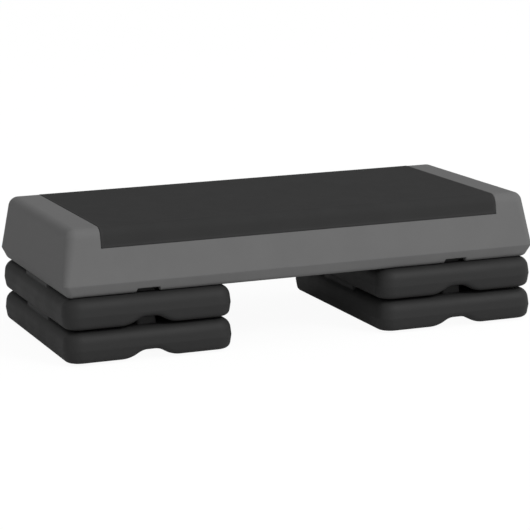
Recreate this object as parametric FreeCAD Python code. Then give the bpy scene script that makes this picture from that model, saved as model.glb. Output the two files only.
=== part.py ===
"""Aerobic step platform: a moulded deck with a tread mat, on two stacks of two risers.

Millimetres, +Z up, +X along the deck, -Y the long side that faces the user.
The origin is on the floor, under the middle of the deck.
"""
import FreeCAD
import Part
import math
import os

from FreeCAD import Vector

# Deck, a double-walled moulding with its parting line low on the side
deck_length = 761.0
deck_depth = 365.0
deck_height = 100.9
deck_belt_height = 18.7          # parting line above the deck's underside
deck_draft_inset = 11.8          # how far the sides lean in from the parting line to the top
deck_edge_round = 16.0           # round along the top edge
deck_lip_inset = 8.0             # how far the lip leans in from the parting line to the underside
deck_lip_round = 10.0            # round along the lip's lower edge
deck_belt_corner_radius = 9.0    # upright corners at the parting line, which widen up and down from there
deck_corner_core = 0.7           # what the rounds along the top and the lip leave of the corner's radius

# Tread mat, laid in a recess of the deck and folded down the long sides
mat_length = 639.0
mat_skirt = 29.8                 # how far the mat hangs down below the deck's top
mat_thickness = 3.0
mat_proud = 0.5                  # the mat stands this far out of the deck
mat_clearance = 0.3

# Risers, pillow-edged blocks with their parting line near mid-height
riser_overhang = 4.5             # how far the risers reach past the deck's long sides
riser_length = 262.0
riser_depth = deck_depth + 2 * riser_overhang
riser_height = 46.5
riser_belt_height = 20.0
riser_draft_inset = 2.4
riser_edge_round = 17.3
riser_corner_radius = 25.0
riser_foot_draft_inset = 2.6
riser_bottom_round = 9.2         # round along the lower edge, which also follows the finger notches
riser_end_inset = 0.25           # riser's outer end, in from the deck's end

# Lugs on top of a riser, and the sockets that take them
lug_height = 12.0
lug_draft_inset = 0.8
lug_edge_round = 1.5
lug_corner_radius = 4.0
lug_clearance = 0.6
key_width = 31.0                 # front and back lugs, along X
key_reach = 40.0                 # front and back lugs, along Y
key_inset = 26.0                 # from the riser's front to the key's tip
side_lug_width = 26.0            # along X
side_lug_reach = 122.0           # along Y
side_lug_inset = 8.0

# Finger notch in the front and back of a riser, with the pocket behind it
notch_roof_width = 26.2          # between the corners of the outline, before they are rounded
notch_mouth_width = 63.4
notch_height = 12.1
notch_roof_round = 26.0
notch_mouth_round = 46.0
pocket_width = 80.0
pocket_lip = 27.0                # wall between the riser's front and the pocket

# Notch in the deck's lip above each key, with the pocket behind it
deck_notch_roof_width = 35.0
deck_notch_mouth_width = 38.0
deck_notch_height = 7.3
deck_notch_round = 1.5
deck_pocket_width = 56.0
deck_pocket_lip = 18.0
deck_pocket_behind_key_tip = 9.0

# Cones in the deck's underside that tie it to the top skin
tie_base_radius = 22.0
tie_tip_radius = 8.0
tie_height = 78.0
tie_pitch = 72.0
tie_columns = 3
tie_rows = 4

# Round rubber feet, which carry each piece clear of the one below
foot_radius = 15.0
riser_foot_proud = 3.5
deck_foot_proud = 0.6
foot_seat_depth = 3.0
foot_edge_round = 0.8
foot_seat_clearance = 0.2
foot_inset_x = 45.0
foot_inset_y = 50.0

overrun = 5.0                    # how far every cut runs past the surface that it opens
tolerance = 0.001
mm3_per_cm3 = 1000

# Heights of the stacked pieces above the floor
lower_riser_bottom = riser_foot_proud
upper_riser_bottom = lower_riser_bottom + riser_height + riser_foot_proud
deck_bottom = upper_riser_bottom + riser_height + deck_foot_proud

riser_center_x = deck_length / 2 - riser_end_inset - riser_length / 2
key_back = -riser_depth / 2 + key_inset + key_reach + lug_clearance

up = Vector(0, 0, 1)
center = Vector(0, 0, 0)


def rounded_corner(before, corner, after, radius):
    """Start, middle and end of the arc that rounds a corner between two straight runs."""
    way_in = (corner - before).normalize()
    way_out = (after - corner).normalize()
    half_turn = way_in.getAngle(way_out) / 2
    reach = radius * math.tan(half_turn)
    start = corner - way_in * reach
    end = corner + way_out * reach
    to_center = (way_out - way_in).normalize()
    arc_center = corner + to_center * (radius / math.cos(half_turn))
    return start, arc_center - to_center * radius, end


def run(start, end):
    return Part.LineSegment(start, end).toShape()


def arc(points):
    return Part.Arc(*points).toShape()


def rounded_rectangle(length, depth, radius, height):
    """Closed wire of a rectangle with rounded corners, lying at a height."""
    half_x = length / 2 - radius
    half_y = depth / 2 - radius
    diagonal = radius * math.sqrt(0.5)
    edges = []
    for turn in range(4):
        reach_x, reach_y = (half_x, half_y) if turn % 2 == 0 else (half_y, half_x)
        side = run(Vector(reach_x + radius, -reach_y, height), Vector(reach_x + radius, reach_y, height))
        corner = arc([Vector(reach_x + radius, reach_y, height),
                      Vector(reach_x + diagonal, reach_y + diagonal, height),
                      Vector(reach_x, reach_y + radius, height)])
        for edge in (side, corner):
            edge.rotate(center, up, 90 * turn)
            edges.append(edge)
    return Part.Wire(edges)


def drafted_block(length, depth, sections):
    """A block ruled through rounded rectangles, each given by its height, inset and corner radius."""
    outlines = [rounded_rectangle(length - 2 * inset, depth - 2 * inset, corner_radius, height)
                for height, inset, corner_radius in sections]
    return Part.makeLoft(outlines, True, True)


def round_top(block, height, radius):
    """The block with its upper edge rounded."""
    rim = [edge for edge in block.Edges if edge.BoundBox.ZMin > height - tolerance]
    return block.makeFillet(radius, rim)


def round_bottom(block, radius):
    """The block on z = 0 with its lower edge rounded."""
    rim = [edge for edge in block.Edges if edge.BoundBox.ZMax < tolerance]
    return block.makeFillet(radius, rim)


def round_notched_bottom(block, notches, belt, radius):
    """The block cut by its notches, with one round that runs along its lower edge and over them."""
    flanks = [face for face in block.Faces
              if face.BoundBox.ZMax < belt + tolerance and face.BoundBox.ZLength > tolerance]
    flanks = Part.Compound(flanks)
    notched = block.cut(notches)
    rim = []
    for edge in notched.Edges:
        middle = Part.Vertex(edge.valueAt((edge.FirstParameter + edge.LastParameter) / 2))
        if edge.BoundBox.ZMax < belt - tolerance and flanks.distToShape(middle)[0] < tolerance:
            rim.append(edge)
    return notched.makeFillet(radius, rim)


def notch(roof_width, mouth_width, height, roof_round, mouth_round, front, reach):
    """Tool for a notch in a front wall: a flat roof and two flanks, rounded where they meet and end."""
    roof = roof_width / 2
    mouth = mouth_width / 2

    def at(x, z):
        return Vector(x, front, z)

    roof_arc = rounded_corner(at(0, height), at(roof, height), at(mouth, 0), roof_round)
    mouth_arc = rounded_corner(at(roof, height), at(mouth, 0), at(mouth + mouth_width, 0), mouth_round)
    half = [roof_arc[0], roof_arc[1], roof_arc[2], mouth_arc[0], mouth_arc[1], mouth_arc[2]]
    other = [Vector(-point.x, point.y, point.z) for point in half]
    low = mouth_arc[2] - up * overrun
    other_low = other[5] - up * overrun
    edges = [run(other[0], half[0]), arc(half[:3]), run(half[2], half[3]), arc(half[3:]),
             run(half[5], low), run(low, other_low), run(other_low, other[5]),
             arc(other[:2:-1]), run(other[3], other[2]), arc(other[2::-1])]
    return Part.Face(Part.Wire(edges)).extrude(Vector(0, reach, 0))


def pocket(width, front, back, height):
    """Space behind a notch, open below."""
    return Part.makeBox(width, back - front, height + overrun, Vector(-width / 2, front, -overrun))


def both_long_sides(tool):
    """A tool made for the front, and the same tool turned round to the back."""
    turned = tool.copy()
    turned.rotate(center, up, 180)
    return [tool, turned]


def lug_places():
    """Width, reach and place of the four lugs on a riser."""
    key_y = riser_depth / 2 - key_inset - key_reach / 2
    side_x = riser_length / 2 - side_lug_inset - side_lug_width / 2
    return [(key_width, key_reach, Vector(0, -key_y, 0)),
            (key_width, key_reach, Vector(0, key_y, 0)),
            (side_lug_width, side_lug_reach, Vector(-side_x, 0, 0)),
            (side_lug_width, side_lug_reach, Vector(side_x, 0, 0))]


def lugs(clearance=0.0):
    """The four lugs on a riser, standing on z = 0, grown by a clearance."""
    shapes = []
    for width, reach, place in lug_places():
        height = lug_height + clearance
        corner = lug_corner_radius + clearance
        lug = drafted_block(width + 2 * clearance, reach + 2 * clearance,
                            [(0, 0, corner), (height, lug_draft_inset, corner)])
        shapes.append(round_top(lug, height, lug_edge_round).translated(place))
    return shapes


def lug_roots():
    """Plain blocks under the lugs, which carry them down into the riser's rounded edge."""
    roots = []
    for width, reach, place in lug_places():
        outline = Part.Face(rounded_rectangle(width, reach, lug_corner_radius, 0))
        roots.append(outline.extrude(up * -riser_edge_round).translated(place))
    return roots


def lug_sockets(gap):
    """Sockets in an underside at z = 0, for the lugs of a riser whose top lies a gap below it."""
    return [lug.translated(up * -gap) for lug in lugs(lug_clearance)]


def foot_places():
    """The four places of the feet under a riser."""
    reach_x = riser_length / 2 - foot_inset_x
    reach_y = riser_depth / 2 - foot_inset_y
    return {"front_left": Vector(-reach_x, -reach_y, 0), "front_right": Vector(reach_x, -reach_y, 0),
            "back_left": Vector(-reach_x, reach_y, 0), "back_right": Vector(reach_x, reach_y, 0)}


def foot_seats():
    """Round sockets in an underside at z = 0, one for each foot."""
    return [Part.makeCylinder(foot_radius + foot_seat_clearance, foot_seat_depth + overrun,
                              place - up * overrun) for place in foot_places().values()]


def make_riser():
    """One riser with its underside at z = 0."""
    front = -riser_depth / 2
    block = drafted_block(riser_length, riser_depth,
                          [(0, riser_foot_draft_inset, riser_corner_radius),
                           (riser_belt_height, 0, riser_corner_radius),
                           (riser_height, riser_draft_inset, riser_corner_radius)])
    finger_notch = notch(notch_roof_width, notch_mouth_width, notch_height, notch_roof_round,
                         notch_mouth_round, front - overrun, pocket_lip + 2 * overrun)
    body = round_notched_bottom(block, both_long_sides(finger_notch), riser_belt_height, riser_bottom_round)
    body = round_top(body, riser_height, riser_edge_round)
    on_top = [lug.translated(up * riser_height) for lug in lugs() + lug_roots()]
    hollows = lug_sockets(riser_foot_proud) + foot_seats()
    hollows = hollows + both_long_sides(pocket(pocket_width, front + pocket_lip, key_back, notch_height))
    return body.fuse(on_top).removeSplitter().cut(hollows).removeSplitter()


def make_foot(proud):
    """A round foot with its flat sole at z = 0 and a softened edge."""
    height = proud + foot_seat_depth
    rim = Vector(foot_radius, 0, 0)
    sole_arc = rounded_corner(center, rim, rim + up * height, foot_edge_round)
    outline = Part.Wire([run(center, sole_arc[0]), arc(sole_arc), run(sole_arc[2], rim + up * height),
                         run(rim + up * height, up * height), run(up * height, center)])
    return Part.Face(outline).revolve(center, up, 360)


def deck_section(offset, bottom):
    """The deck's cross-section above a height, grown outwards by an offset; its underside is z = 0."""
    lean = deck_draft_inset / (deck_height - deck_belt_height)
    growth = offset * math.sqrt(1 + lean ** 2)

    def side(height):
        return deck_depth / 2 - lean * (height - deck_belt_height) + growth

    top = deck_height + offset
    top_arc = rounded_corner(Vector(0, side(bottom), bottom), Vector(0, side(top), top),
                             Vector(0, 0, top), deck_edge_round + offset)
    mirrored = [Vector(0, -point.y, point.z) for point in top_arc]
    edges = [run(Vector(0, side(bottom), bottom), top_arc[0]), arc(top_arc),
             run(top_arc[2], mirrored[2]), arc(mirrored[::-1]),
             run(mirrored[0], Vector(0, -side(bottom), bottom)),
             run(Vector(0, -side(bottom), bottom), Vector(0, side(bottom), bottom))]
    return Part.Face(Part.Wire(edges))


def mat_layer(outside, length, skirt):
    """The layer between the recess floor and a surface outside the deck, over a length and a skirt."""
    floor = mat_proud - mat_thickness
    bottom = deck_height - skirt
    outer = deck_section(outside, bottom).translated(Vector(-length / 2, 0, 0))
    inner = deck_section(floor, bottom - overrun).translated(Vector(-length / 2 - overrun, 0, 0))
    return outer.extrude(Vector(length, 0, 0)).cut(inner.extrude(Vector(length + 2 * overrun, 0, 0)))


def make_mat():
    """The mat on a deck whose underside is at z = 0."""
    return mat_layer(mat_proud, mat_length, mat_skirt)


def tie_cones():
    """Cones that rise from the deck's underside between the two stacks."""
    cones = []
    for column in range(tie_columns):
        for row in range(tie_rows):
            x = (column - (tie_columns - 1) / 2) * tie_pitch
            y = (row - (tie_rows - 1) / 2) * tie_pitch
            cones.append(Part.makeCone(tie_base_radius, tie_tip_radius, tie_height, Vector(x, y, 0)))
    return cones


def make_deck():
    """The deck with its underside at z = 0."""
    front = -deck_depth / 2
    stacks = [Vector(-riser_center_x, 0, 0), Vector(riser_center_x, 0, 0)]
    block = drafted_block(deck_length, deck_depth,
                          [(0, deck_lip_inset, deck_lip_round + deck_corner_core),
                           (deck_belt_height, 0, deck_belt_corner_radius),
                           (deck_height, deck_draft_inset, deck_edge_round + deck_corner_core)])
    body = round_top(round_bottom(block, deck_lip_round), deck_height, deck_edge_round)
    lip_notch = notch(deck_notch_roof_width, deck_notch_mouth_width, deck_notch_height, deck_notch_round,
                      deck_notch_round, front - overrun, deck_pocket_lip + 2 * overrun)
    pocket_back = -riser_depth / 2 + key_inset + deck_pocket_behind_key_tip
    socket_depth = lug_height + lug_clearance - deck_foot_proud
    key_pocket = pocket(deck_pocket_width, front + deck_pocket_lip, pocket_back, socket_depth)
    stack_tools = both_long_sides(lip_notch) + both_long_sides(key_pocket)
    stack_tools = stack_tools + lug_sockets(deck_foot_proud) + foot_seats()
    recess = mat_layer(overrun, mat_length + 2 * mat_clearance, mat_skirt + mat_clearance)
    hollows = [tool.translated(place) for tool in stack_tools for place in stacks]
    return body.cut([recess] + tie_cones() + hollows).removeSplitter()


def all_pieces():
    """Every piece by its node name, at its place in the stack."""
    pieces = {"deck_shell": make_deck().translated(up * deck_bottom),
              "tread_mat": make_mat().translated(up * deck_bottom)}
    riser = make_riser()
    riser_foot = make_foot(riser_foot_proud)
    deck_foot = make_foot(deck_foot_proud)
    for side, stack_x in (("left", -riser_center_x), ("right", riser_center_x)):
        for level, bottom in (("lower", lower_riser_bottom), ("upper", upper_riser_bottom)):
            pieces[f"riser_{side}_{level}"] = riser.translated(Vector(stack_x, 0, bottom))
            for corner, place in foot_places().items():
                sole = place + Vector(stack_x, 0, bottom - riser_foot_proud)
                pieces[f"riser_{side}_{level}_foot_{corner}"] = riser_foot.translated(sole)
        for corner, place in foot_places().items():
            sole = place + Vector(stack_x, 0, deck_bottom - deck_foot_proud)
            pieces[f"deck_{side}_foot_{corner}"] = deck_foot.translated(sole)
    return pieces


def main():
    os.makedirs("parts", exist_ok=True)
    for name, solid in all_pieces().items():
        solid.exportStep(f"parts/{name}.step")
        print(name, "valid" if solid.isValid() else "NOT VALID", len(solid.Solids),
              "solids", round(solid.Volume / mm3_per_cm3, 1), "cm3")


main()
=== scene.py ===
import math

import bpy
import numpy as np
from mathutils import Matrix, Vector


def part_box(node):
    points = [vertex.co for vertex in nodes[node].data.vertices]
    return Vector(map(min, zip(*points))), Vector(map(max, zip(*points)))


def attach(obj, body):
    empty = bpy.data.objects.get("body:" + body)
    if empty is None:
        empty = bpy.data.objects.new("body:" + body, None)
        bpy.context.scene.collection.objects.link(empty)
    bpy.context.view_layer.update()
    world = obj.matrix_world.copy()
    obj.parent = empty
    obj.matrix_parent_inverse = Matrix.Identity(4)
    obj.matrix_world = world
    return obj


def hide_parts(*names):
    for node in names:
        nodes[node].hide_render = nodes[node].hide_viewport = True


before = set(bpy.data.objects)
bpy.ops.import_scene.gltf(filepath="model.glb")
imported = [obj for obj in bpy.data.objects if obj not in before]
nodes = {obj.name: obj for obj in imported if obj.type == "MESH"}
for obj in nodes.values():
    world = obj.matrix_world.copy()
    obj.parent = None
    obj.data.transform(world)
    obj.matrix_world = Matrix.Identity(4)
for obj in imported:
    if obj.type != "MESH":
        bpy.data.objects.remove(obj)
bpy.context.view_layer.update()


# Small helpers for node trees

def addNode(tree, kind, **settings):
    node = tree.nodes.new(kind)
    for name, value in settings.items():
        setattr(node, name, value)
    return node


def feed(tree, node, values):
    # each input named takes a link from a socket, or a plain value of its own
    for name, value in values.items():
        if isinstance(value, bpy.types.NodeSocket):
            tree.links.new(value, node.inputs[name])
        else:
            node.inputs[name].default_value = value
    return node


def mathNode(tree, operation, first, second):
    node = addNode(tree, "ShaderNodeMath", operation=operation)
    return feed(tree, node, {0: first, 1: second}).outputs[0]


def dotProduct(tree, first, second):
    node = addNode(tree, "ShaderNodeVectorMath", operation="DOT_PRODUCT")
    return feed(tree, node, {0: first, 1: second}).outputs["Value"]


def smoothRange(tree, value, span=(0.0, 1.0), result=(0.0, 1.0)):
    # eases from the first result to the second while the value crosses the span
    node = addNode(tree, "ShaderNodeMapRange", interpolation_type="SMOOTHSTEP")
    feed(tree, node, {"Value": value, "From Min": span[0], "From Max": span[1],
                      "To Min": result[0], "To Max": result[1]})
    return node.outputs["Result"]


def noiseTexture(tree, place, scale, detail, roughness=0.5):
    node = addNode(tree, "ShaderNodeTexNoise")
    feed(tree, node, {"Vector": place, "Scale": scale, "Detail": detail, "Roughness": roughness})
    return node.outputs["Fac"]


def mixColours(tree, share, first, second):
    node = addNode(tree, "ShaderNodeMix", data_type="RGBA")
    colours = [k for k, socket in enumerate(node.inputs) if socket.type == "RGBA"]
    feed(tree, node, {"Factor": share, colours[0]: first, colours[1]: second})
    return [socket for socket in node.outputs if socket.type == "RGBA"][0]


def objectPlace(tree):
    return addNode(tree, "ShaderNodeTexCoord").outputs["Object"]


def surfaceNormal(tree):
    return addNode(tree, "ShaderNodeNewGeometry").outputs["Normal"]


def grey(level):
    return (level, level, level, 1.0)


def newGroup(name, inputs, outputs):
    # a group with number inputs, and outputs of the kinds given
    tree = bpy.data.node_groups.new(name, "ShaderNodeTree")
    for label in inputs:
        tree.interface.new_socket(label, in_out="INPUT", socket_type="NodeSocketFloat")
    for label, kind in outputs.items():
        tree.interface.new_socket(label, in_out="OUTPUT", socket_type="NodeSocket" + kind)
    return tree, addNode(tree, "NodeGroupInput").outputs, addNode(tree, "NodeGroupOutput")


def placeGroup(tree, group, values):
    return feed(tree, addNode(tree, "ShaderNodeGroup", node_tree=group), values).outputs


# Shared effects

grainSetup = {
    "fineDetail": 2.0, "fineRoughness": 0.6,
    "pebbleShare": 0.6,             # how much the pebbles take away from the fine noise
    "cloudDetail": 3.0, "cloudSpan": (0.3, 0.7),
}


def makeMouldGrain(setup):
    # fine pebbles of an eroded mould face, and a slow cloudiness of the plastic
    tree, given, result = newGroup("mouldGrain", ("Grain per metre", "Clouds per metre"),
                                   {"Height": "Float", "Clouds": "Float"})
    place = objectPlace(tree)
    fine = noiseTexture(tree, place, given["Grain per metre"], setup["fineDetail"], setup["fineRoughness"])
    pebble = addNode(tree, "ShaderNodeTexVoronoi", feature="SMOOTH_F1")
    feed(tree, pebble, {"Vector": place, "Scale": given["Grain per metre"]})
    pebbles = mathNode(tree, "MULTIPLY", pebble.outputs["Distance"], setup["pebbleShare"])
    clouds = noiseTexture(tree, place, given["Clouds per metre"], setup["cloudDetail"])
    feed(tree, result, {"Height": mathNode(tree, "SUBTRACT", fine, pebbles),
                        "Clouds": smoothRange(tree, clouds, setup["cloudSpan"])})
    return tree


wearSetup = {
    "samples": 4,
    "turnSpan": (0.995, 0.9),       # cosine of the turn, from no wear to full wear
    "breakupDetail": 4.0, "breakupSpan": (0.35, 0.7),
}


def makeEdgeWear(setup):
    # how far the surface turns within a small radius, strong along edges and rims and broken up by noise,
    # and the normal smoothed over that radius, which makes edges as soft as a moulding's
    tree, given, result = newGroup("edgeWear", ("Radius", "Breakup per metre"),
                                   {"Wear": "Float", "Rounded": "Vector"})
    bevel = addNode(tree, "ShaderNodeBevel", samples=setup["samples"])
    rounded = feed(tree, bevel, {"Radius": given["Radius"]}).outputs["Normal"]
    edge = smoothRange(tree, dotProduct(tree, rounded, surfaceNormal(tree)), setup["turnSpan"])
    noise = noiseTexture(tree, objectPlace(tree), given["Breakup per metre"], setup["breakupDetail"])
    breakup = smoothRange(tree, noise, setup["breakupSpan"])
    feed(tree, result, {"Wear": mathNode(tree, "MULTIPLY", edge, breakup), "Rounded": rounded})
    return tree


dustSetup = {
    "upwardSpan": (0.4, 1.0),       # upward share of the normal, from no dust to full dust
    "driftDetail": 5.0, "driftSpan": (0.35, 0.75),
}


def makeSettledDust(setup):
    # dust on faces that look up, thin and in soft drifts
    tree, given, result = newGroup("settledDust", ("Drifts per metre", "Amount"), {"Dust": "Float"})
    normal = feed(tree, addNode(tree, "ShaderNodeSeparateXYZ"), {0: surfaceNormal(tree)})
    upward = smoothRange(tree, normal.outputs["Z"], setup["upwardSpan"])
    noise = noiseTexture(tree, objectPlace(tree), given["Drifts per metre"], setup["driftDetail"])
    drifts = mathNode(tree, "MULTIPLY", upward, smoothRange(tree, noise, setup["driftSpan"]))
    feed(tree, result, {"Dust": mathNode(tree, "MULTIPLY", given["Amount"], drifts)})
    return tree


mouldGrain = makeMouldGrain(grainSetup)
edgeWear = makeEdgeWear(wearSetup)
settledDust = makeSettledDust(dustSetup)
print("shared effects built")


# Finishes: colours are linear, radii and depths in metres

def newMaterial(name):
    material = bpy.data.materials.new(name)
    material.use_nodes = True
    tree = material.node_tree
    return material, tree, tree.nodes["Principled BSDF"]


def placeGrain(tree, look):
    return placeGroup(tree, mouldGrain, {"Grain per metre": look["grainPerMetre"],
                                         "Clouds per metre": look["cloudsPerMetre"]})


def placeDust(tree, look):
    return placeGroup(tree, settledDust, {"Drifts per metre": look["dustDrifts"],
                                          "Amount": look["dustAmount"]})["Dust"]


def grainBump(tree, height, look):
    bump = addNode(tree, "ShaderNodeBump")
    return feed(tree, bump, {"Strength": look["grainStrength"], "Distance": look["grainDepth"],
                             "Height": height})


def mouldedPlastic(name, look):
    # cloudy base colour, lighter on worn edges and under dust, over a fine mould grain and soft edges
    material, tree, shader = newMaterial(name)
    grain = placeGrain(tree, look)
    edge = placeGroup(tree, edgeWear, {"Radius": look["edgeRadius"],
                                       "Breakup per metre": look["wearBreakup"]})
    base = mixColours(tree, grain["Clouds"], look["darkColour"], look["lightColour"])
    wear = mathNode(tree, "MULTIPLY", edge["Wear"], look["wearAmount"])
    worn = mixColours(tree, wear, base, look["wornColour"])
    bump = feed(tree, grainBump(tree, grain["Height"], look), {"Normal": edge["Rounded"]})
    feed(tree, shader, {"Base Color": mixColours(tree, placeDust(tree, look), worn, look["dustColour"]),
                        "Roughness": smoothRange(tree, grain["Clouds"], result=look["roughness"]),
                        "Normal": bump.outputs["Normal"],
                        "Specular IOR Level": look["specular"], "IOR": look["ior"]})
    return material


def treadRubber(name, look):
    # painted shade: darker in the hollows of the tread than on its peaks, dull, with a fine grain of its own
    material, tree, shader = newMaterial(name)
    grain = placeGrain(tree, look)
    relief = addNode(tree, "ShaderNodeAttribute", attribute_name="relief").outputs["Fac"]
    peaks = mathNode(tree, "MULTIPLY", relief, 1 - look["cloudShare"])
    clouds = mathNode(tree, "MULTIPLY", grain["Clouds"], look["cloudShare"])
    # painted shade in the tread hollows, following the relief, mixed with a random cloudy tone of the rubber
    reliefShadeAndTone = mathNode(tree, "ADD", peaks, clouds)
    base = mixColours(tree, reliefShadeAndTone, look["shadedHollowColour"], look["peakColour"])
    bump = grainBump(tree, grain["Height"], look)
    feed(tree, shader, {"Base Color": mixColours(tree, placeDust(tree, look), base, look["dustColour"]),
                        "Roughness": look["roughness"], "Normal": bump.outputs["Normal"],
                        "Specular IOR Level": look["specular"], "IOR": look["ior"]})
    return material


deckLook = {
    "darkColour": grey(0.138), "lightColour": grey(0.146), "wornColour": grey(0.19), "dustColour": grey(0.22),
    "grainPerMetre": 1100.0, "cloudsPerMetre": 16.0, "grainDepth": 0.00006, "grainStrength": 0.5,
    "edgeRadius": 0.003, "wearBreakup": 70.0, "wearAmount": 0.25, "dustDrifts": 35.0, "dustAmount": 0.03,
    "roughness": (0.7, 0.76), "specular": 0.2, "ior": 1.49,
}
riserLook = {
    "darkColour": grey(0.0212), "lightColour": grey(0.0232), "wornColour": grey(0.05), "dustColour": grey(0.08),
    "grainPerMetre": 1000.0, "cloudsPerMetre": 18.0, "grainDepth": 0.00006, "grainStrength": 0.5,
    "edgeRadius": 0.003, "wearBreakup": 80.0, "wearAmount": 0.2, "dustDrifts": 40.0, "dustAmount": 0.03,
    "roughness": (0.6, 0.66), "specular": 0.27, "ior": 1.49,
}
footLook = {
    "darkColour": grey(0.010), "lightColour": grey(0.013), "wornColour": grey(0.03), "dustColour": grey(0.06),
    "grainPerMetre": 1600.0, "cloudsPerMetre": 40.0, "grainDepth": 0.00004, "grainStrength": 0.5,
    "edgeRadius": 0.0008, "wearBreakup": 120.0, "wearAmount": 0.2, "dustDrifts": 60.0, "dustAmount": 0.05,
    "roughness": (0.75, 0.83), "specular": 0.25, "ior": 1.5,
}
matLook = {
    # the hollow colour is the rubber with painted shade of the tread hollows, the peak colour is the rubber
    # itself
    "shadedHollowColour": grey(0.031), "peakColour": grey(0.0395), "dustColour": grey(0.09),
    "grainPerMetre": 1500.0, "cloudsPerMetre": 22.0, "grainDepth": 0.00008, "grainStrength": 0.6,
    "cloudShare": 0.2, "dustDrifts": 45.0, "dustAmount": 0.02,
    "roughness": 0.8, "specular": 0.06, "ior": 1.5,
}

deckPlastic = mouldedPlastic("deckPlastic", deckLook)
riserPlastic = mouldedPlastic("riserPlastic", riserLook)
footRubber = mouldedPlastic("footRubber", footLook)
matRubber = treadRubber("treadRubber", matLook)
print("finishes built")


# CAD pieces that stay as they are, each with its finish

def finishOf(name):
    if "_foot_" in name:
        return footRubber
    return riserPlastic if name.startswith("riser") else deckPlastic


for name, piece in nodes.items():
    piece.data.materials.clear()
    piece.data.materials.append(finishOf(name))
print("CAD pieces dressed")


# Tread mat: a rubber sheet folded over both long edges, with a fine staggered relief

treadMat = {
    "lean": 0.14355,          # how far the deck's side leans in for each metre of height
    "edgeRound": 0.0165,      # radius of the fold on the mat's outer face
    "thickness": 0.003,
    "reliefStep": 0.002,      # half the distance between two peaks
    "reliefHeight": 0.0003,
    "plainMargin": 0.004,     # border without relief
    "rimRound": 0.0010,
    "rimPoints": 4,
}


def treadPositions(length, setup):
    # even steps of about half a pitch, with a few closer points along the rounded rim at both ends
    rim = setup["rimRound"] * (1 - np.cos(np.linspace(0, math.pi / 2, setup["rimPoints"])))
    steps = int(round((length - 2 * setup["rimRound"]) / setup["reliefStep"]))
    inner = np.linspace(setup["rimRound"], length - setup["rimRound"], steps + 1)
    return np.concatenate([rim[:-1], inner, length - rim[-2::-1]])


def foldedSection(across, half, fold, radius, foldAngle, topHeight):
    # flat for half a width each way, then an arc through the fold angle, then straight down the side;
    # gives Y, Z and the outward direction for each distance from the middle line
    away = np.abs(across)
    turn = np.clip((away - half) / radius, 0, foldAngle)
    down = np.clip(away - half - fold, 0, None)
    y = np.clip(away, 0, half) + radius * np.sin(turn) + down * math.cos(foldAngle)
    z = topHeight - radius * (1 - np.cos(turn)) - down * math.sin(foldAngle)
    side = np.where(across < 0, -1.0, 1.0)
    return y * side, z, np.sin(turn) * side, np.cos(turn)


def quads(first, second):
    # faces between two rows of points, from each point to the next
    return np.stack([first[:-1], second[:-1], second[1:], first[1:]], axis=-1).reshape(-1, 4)


def makeTreadMat(setup):
    low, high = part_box("tread_mat")
    slope = math.atan(1 / setup["lean"])           # steepness of the deck's side
    reach = setup["edgeRound"] * math.tan(slope / 2)
    half = high.y - setup["lean"] * (high.z - low.z) - reach
    fold = setup["edgeRound"] * slope
    skirt = (high.z - low.z) / math.sin(slope) - reach
    span = 2 * (half + fold + skirt)

    along = treadPositions(high.x - low.x, setup)
    across = treadPositions(span, setup)
    y, z, normalY, normalZ = foldedSection(across - span / 2, half, fold, setup["edgeRound"], slope, high.z)

    # distance to the nearest border sets the rounded rim and where the relief starts
    fromEnds = np.minimum(along, along[-1] - along)[:, None]
    fromSides = np.minimum(across, span - across)[None, :]
    border = np.minimum(fromEnds, fromSides)
    inside = np.clip(setup["rimRound"] - border, 0, None)
    drop = setup["rimRound"] - np.sqrt(setup["rimRound"] ** 2 - inside ** 2)
    peaks = (np.arange(along.size)[:, None] + np.arange(across.size)[None, :]) % 2
    relief = np.where(border > setup["plainMargin"], peaks, 1).astype(float)
    sink = drop + (1 - relief) * setup["reliefHeight"]

    # outer face, sunk along its own normal
    outer = np.empty((along.size, across.size, 3))
    outer[..., 0] = (along + low.x)[:, None]
    outer[..., 1] = y - sink * normalY
    outer[..., 2] = z - sink * normalZ
    # inner face, one strip from end to end
    inner = np.empty((2, across.size, 3))
    inner[..., 0] = np.array([[low.x], [high.x]])
    inner[..., 1] = y - setup["thickness"] * normalY
    inner[..., 2] = z - setup["thickness"] * normalZ
    points = np.concatenate([outer.reshape(-1, 3), inner.reshape(-1, 3)])

    index = np.arange(along.size * across.size).reshape(along.size, across.size)
    lower = index.size + np.arange(2 * across.size).reshape(2, across.size)
    faces = [quads(index[k], index[k + 1]) for k in range(along.size - 1)]
    faces += [quads(lower[1], lower[0]), quads(lower[0], index[0]), quads(index[-1], lower[1])]
    frontWall = [int(lower[0, 0]), int(lower[1, 0])] + index[::-1, 0].tolist()
    backWall = [int(lower[1, -1]), int(lower[0, -1])] + index[:, -1].tolist()

    mesh = bpy.data.meshes.new("tread_mat_textured")
    mesh.from_pydata(points, [], np.concatenate(faces).tolist() + [frontWall, backWall])
    # the relief attribute also drives painted shade in the tread hollows in the mat's finish
    height = mesh.attributes.new("relief", "FLOAT", "POINT")
    height.data.foreach_set("value", np.concatenate([relief.ravel(), np.zeros(lower.size)]))
    mesh.shade_smooth()
    mesh.materials.append(matRubber)
    mesh.update()
    mat = bpy.data.objects.new("tread_mat_textured", mesh)
    bpy.context.scene.collection.objects.link(mat)
    return mat


mat = makeTreadMat(treadMat)
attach(mat, "deck")
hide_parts("tread_mat")
print("tread mat built:", len(mat.data.polygons), "faces")


# Floor, light and camera

studio = {
    "floorSize": 60.0,
    "floorColour": grey(0.74),
    "floorGlow": 0.9,                   # share of its white that the floor keeps in the object's shadow
    "floorWhite": 1.05,
    "skyLevel": 0.5,
    "skyLean": (0.18, -0.29, 0.2),      # the sky brightens towards this direction, by its length
    "mirrorShare": 0.1,                 # how much of the white background shows in reflections
    "keyFrom": (6.35, -10.15, 9.03),
    "keySize": 4.5,
    "keyPower": 835.0,
}


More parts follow.
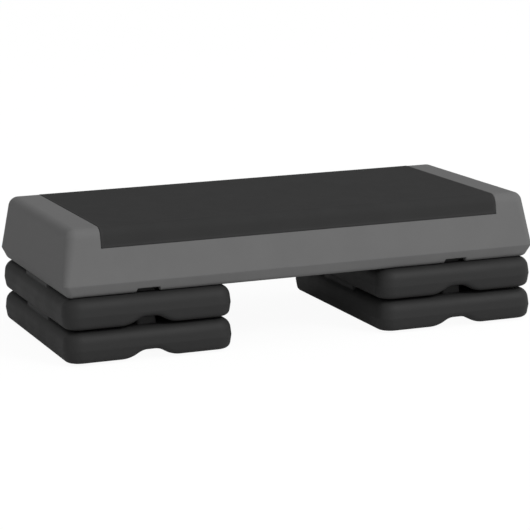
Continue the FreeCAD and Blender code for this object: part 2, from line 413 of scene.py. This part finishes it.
def seesBackground(tree, setup):
    # which rays see the white background: all from the camera or through clear pieces, reflections in part
    path = addNode(tree, "ShaderNodeLightPath").outputs
    mirrored = mathNode(tree, "MULTIPLY", path["Is Glossy Ray"], setup["mirrorShare"])
    clear = mathNode(tree, "MAXIMUM", path["Is Camera Ray"], path["Is Transmission Ray"])
    return mathNode(tree, "MAXIMUM", clear, mirrored)


def makeFloor(setup):
    reach = setup["floorSize"] / 2
    corners = np.array([[-1, -1, 0], [1, -1, 0], [1, 1, 0], [-1, 1, 0]]) * reach
    mesh = bpy.data.meshes.new("floor")
    mesh.from_pydata(corners, [], [[0, 1, 2, 3]])
    floor = bpy.data.objects.new("floor", mesh)
    bpy.context.scene.collection.objects.link(floor)

    material = bpy.data.materials.new("paleFloor")
    material.use_nodes = True
    tree = material.node_tree
    tree.nodes.clear()
    matte = feed(tree, addNode(tree, "ShaderNodeBsdfDiffuse"), {"Color": setup["floorColour"]})
    white = feed(tree, addNode(tree, "ShaderNodeEmission"), {"Strength": setup["floorWhite"]})
    seen = mathNode(tree, "MULTIPLY", seesBackground(tree, setup), setup["floorGlow"])
    blend = feed(tree, addNode(tree, "ShaderNodeMixShader"),
                 {"Fac": seen, 1: matte.outputs[0], 2: white.outputs[0]})
    feed(tree, addNode(tree, "ShaderNodeOutputMaterial"), {"Surface": blend.outputs[0]})
    mesh.materials.append(material)


def makeSky(setup):
    # light from a direction = level + direction . lean; the background seen is white, at a strength of 1
    world = bpy.data.worlds.new("studioSky")
    world.use_nodes = True
    tree = world.node_tree
    tree.nodes.clear()
    direction = addNode(tree, "ShaderNodeTexCoord").outputs["Generated"]
    soft = mathNode(tree, "ADD", dotProduct(tree, direction, setup["skyLean"]), setup["skyLevel"])
    toWhite = mathNode(tree, "MULTIPLY", seesBackground(tree, setup), mathNode(tree, "SUBTRACT", 1.0, soft))
    light = feed(tree, addNode(tree, "ShaderNodeBackground"),
                 {"Color": grey(1.0), "Strength": mathNode(tree, "ADD", soft, toWhite)})
    feed(tree, addNode(tree, "ShaderNodeOutputWorld"), {"Surface": light.outputs[0]})
    bpy.context.scene.world = world


def makeKeyLight(setup):
    lamp = bpy.data.lights.new("keyLight", "AREA")
    lamp.shape = "DISK"
    lamp.size = setup["keySize"]
    lamp.energy = setup["keyPower"]
    light = bpy.data.objects.new("keyLight", lamp)
    bpy.context.scene.collection.objects.link(light)
    light.location = setup["keyFrom"]
    light.rotation_mode = "QUATERNION"
    light.rotation_quaternion = (-Vector(setup["keyFrom"])).to_track_quat("-Z", "Y")


makeFloor(studio)
makeSky(studio)
makeKeyLight(studio)
print("studio built")

photoCamera = {
    "azimuth": -20.79, "elevation": 11.25, "roll": -1.09, "distance": 3.5528, "lens": 152.7, "sensor": 36.0,
    "aimHeight": 0.1023, "imageSize": 530, "aimPixel": (263.9, 255.4), "axisPixel": (265.9, 264.8),
    "sight": 30.0,                      # how many camera distances it sees
}


def makeCamera(setup):
    turn, tilt, roll = (math.radians(setup[k]) for k in ("azimuth", "elevation", "roll"))
    forward = Vector((-math.sin(turn) * math.cos(tilt), math.cos(turn) * math.cos(tilt), -math.sin(tilt)))
    level = Vector((math.cos(turn), math.sin(turn), 0))
    right = level * math.cos(roll) + level.cross(forward) * math.sin(roll)
    up = right.cross(forward)
    # the aim point lies a little off the optical axis, by its pixel's distance from the axis pixel
    perPixel = setup["distance"] * setup["sensor"] / setup["lens"] / setup["imageSize"]
    aside = (setup["aimPixel"][0] - setup["axisPixel"][0]) * perPixel
    above = (setup["axisPixel"][1] - setup["aimPixel"][1]) * perPixel
    aim = Vector((0, 0, setup["aimHeight"]))
    place = aim - forward * setup["distance"] - right * aside - up * above

    data = bpy.data.cameras.new("photoCamera")
    data.lens = setup["lens"]
    data.sensor_width = setup["sensor"]
    middle = (setup["imageSize"] - 1) / 2
    data.shift_x = (middle - setup["axisPixel"][0]) / setup["imageSize"]
    data.shift_y = (setup["axisPixel"][1] - middle) / setup["imageSize"]
    data.clip_end = setup["distance"] * setup["sight"]
    camera = bpy.data.objects.new("photoCamera", data)
    bpy.context.scene.collection.objects.link(camera)
    camera.matrix_world = Matrix.Translation(place) @ Matrix((right, up, -forward)).transposed().to_4x4()
    bpy.context.scene.camera = camera


makeCamera(photoCamera)
bpy.context.scene.view_settings.view_transform = "Standard"
print("camera placed")
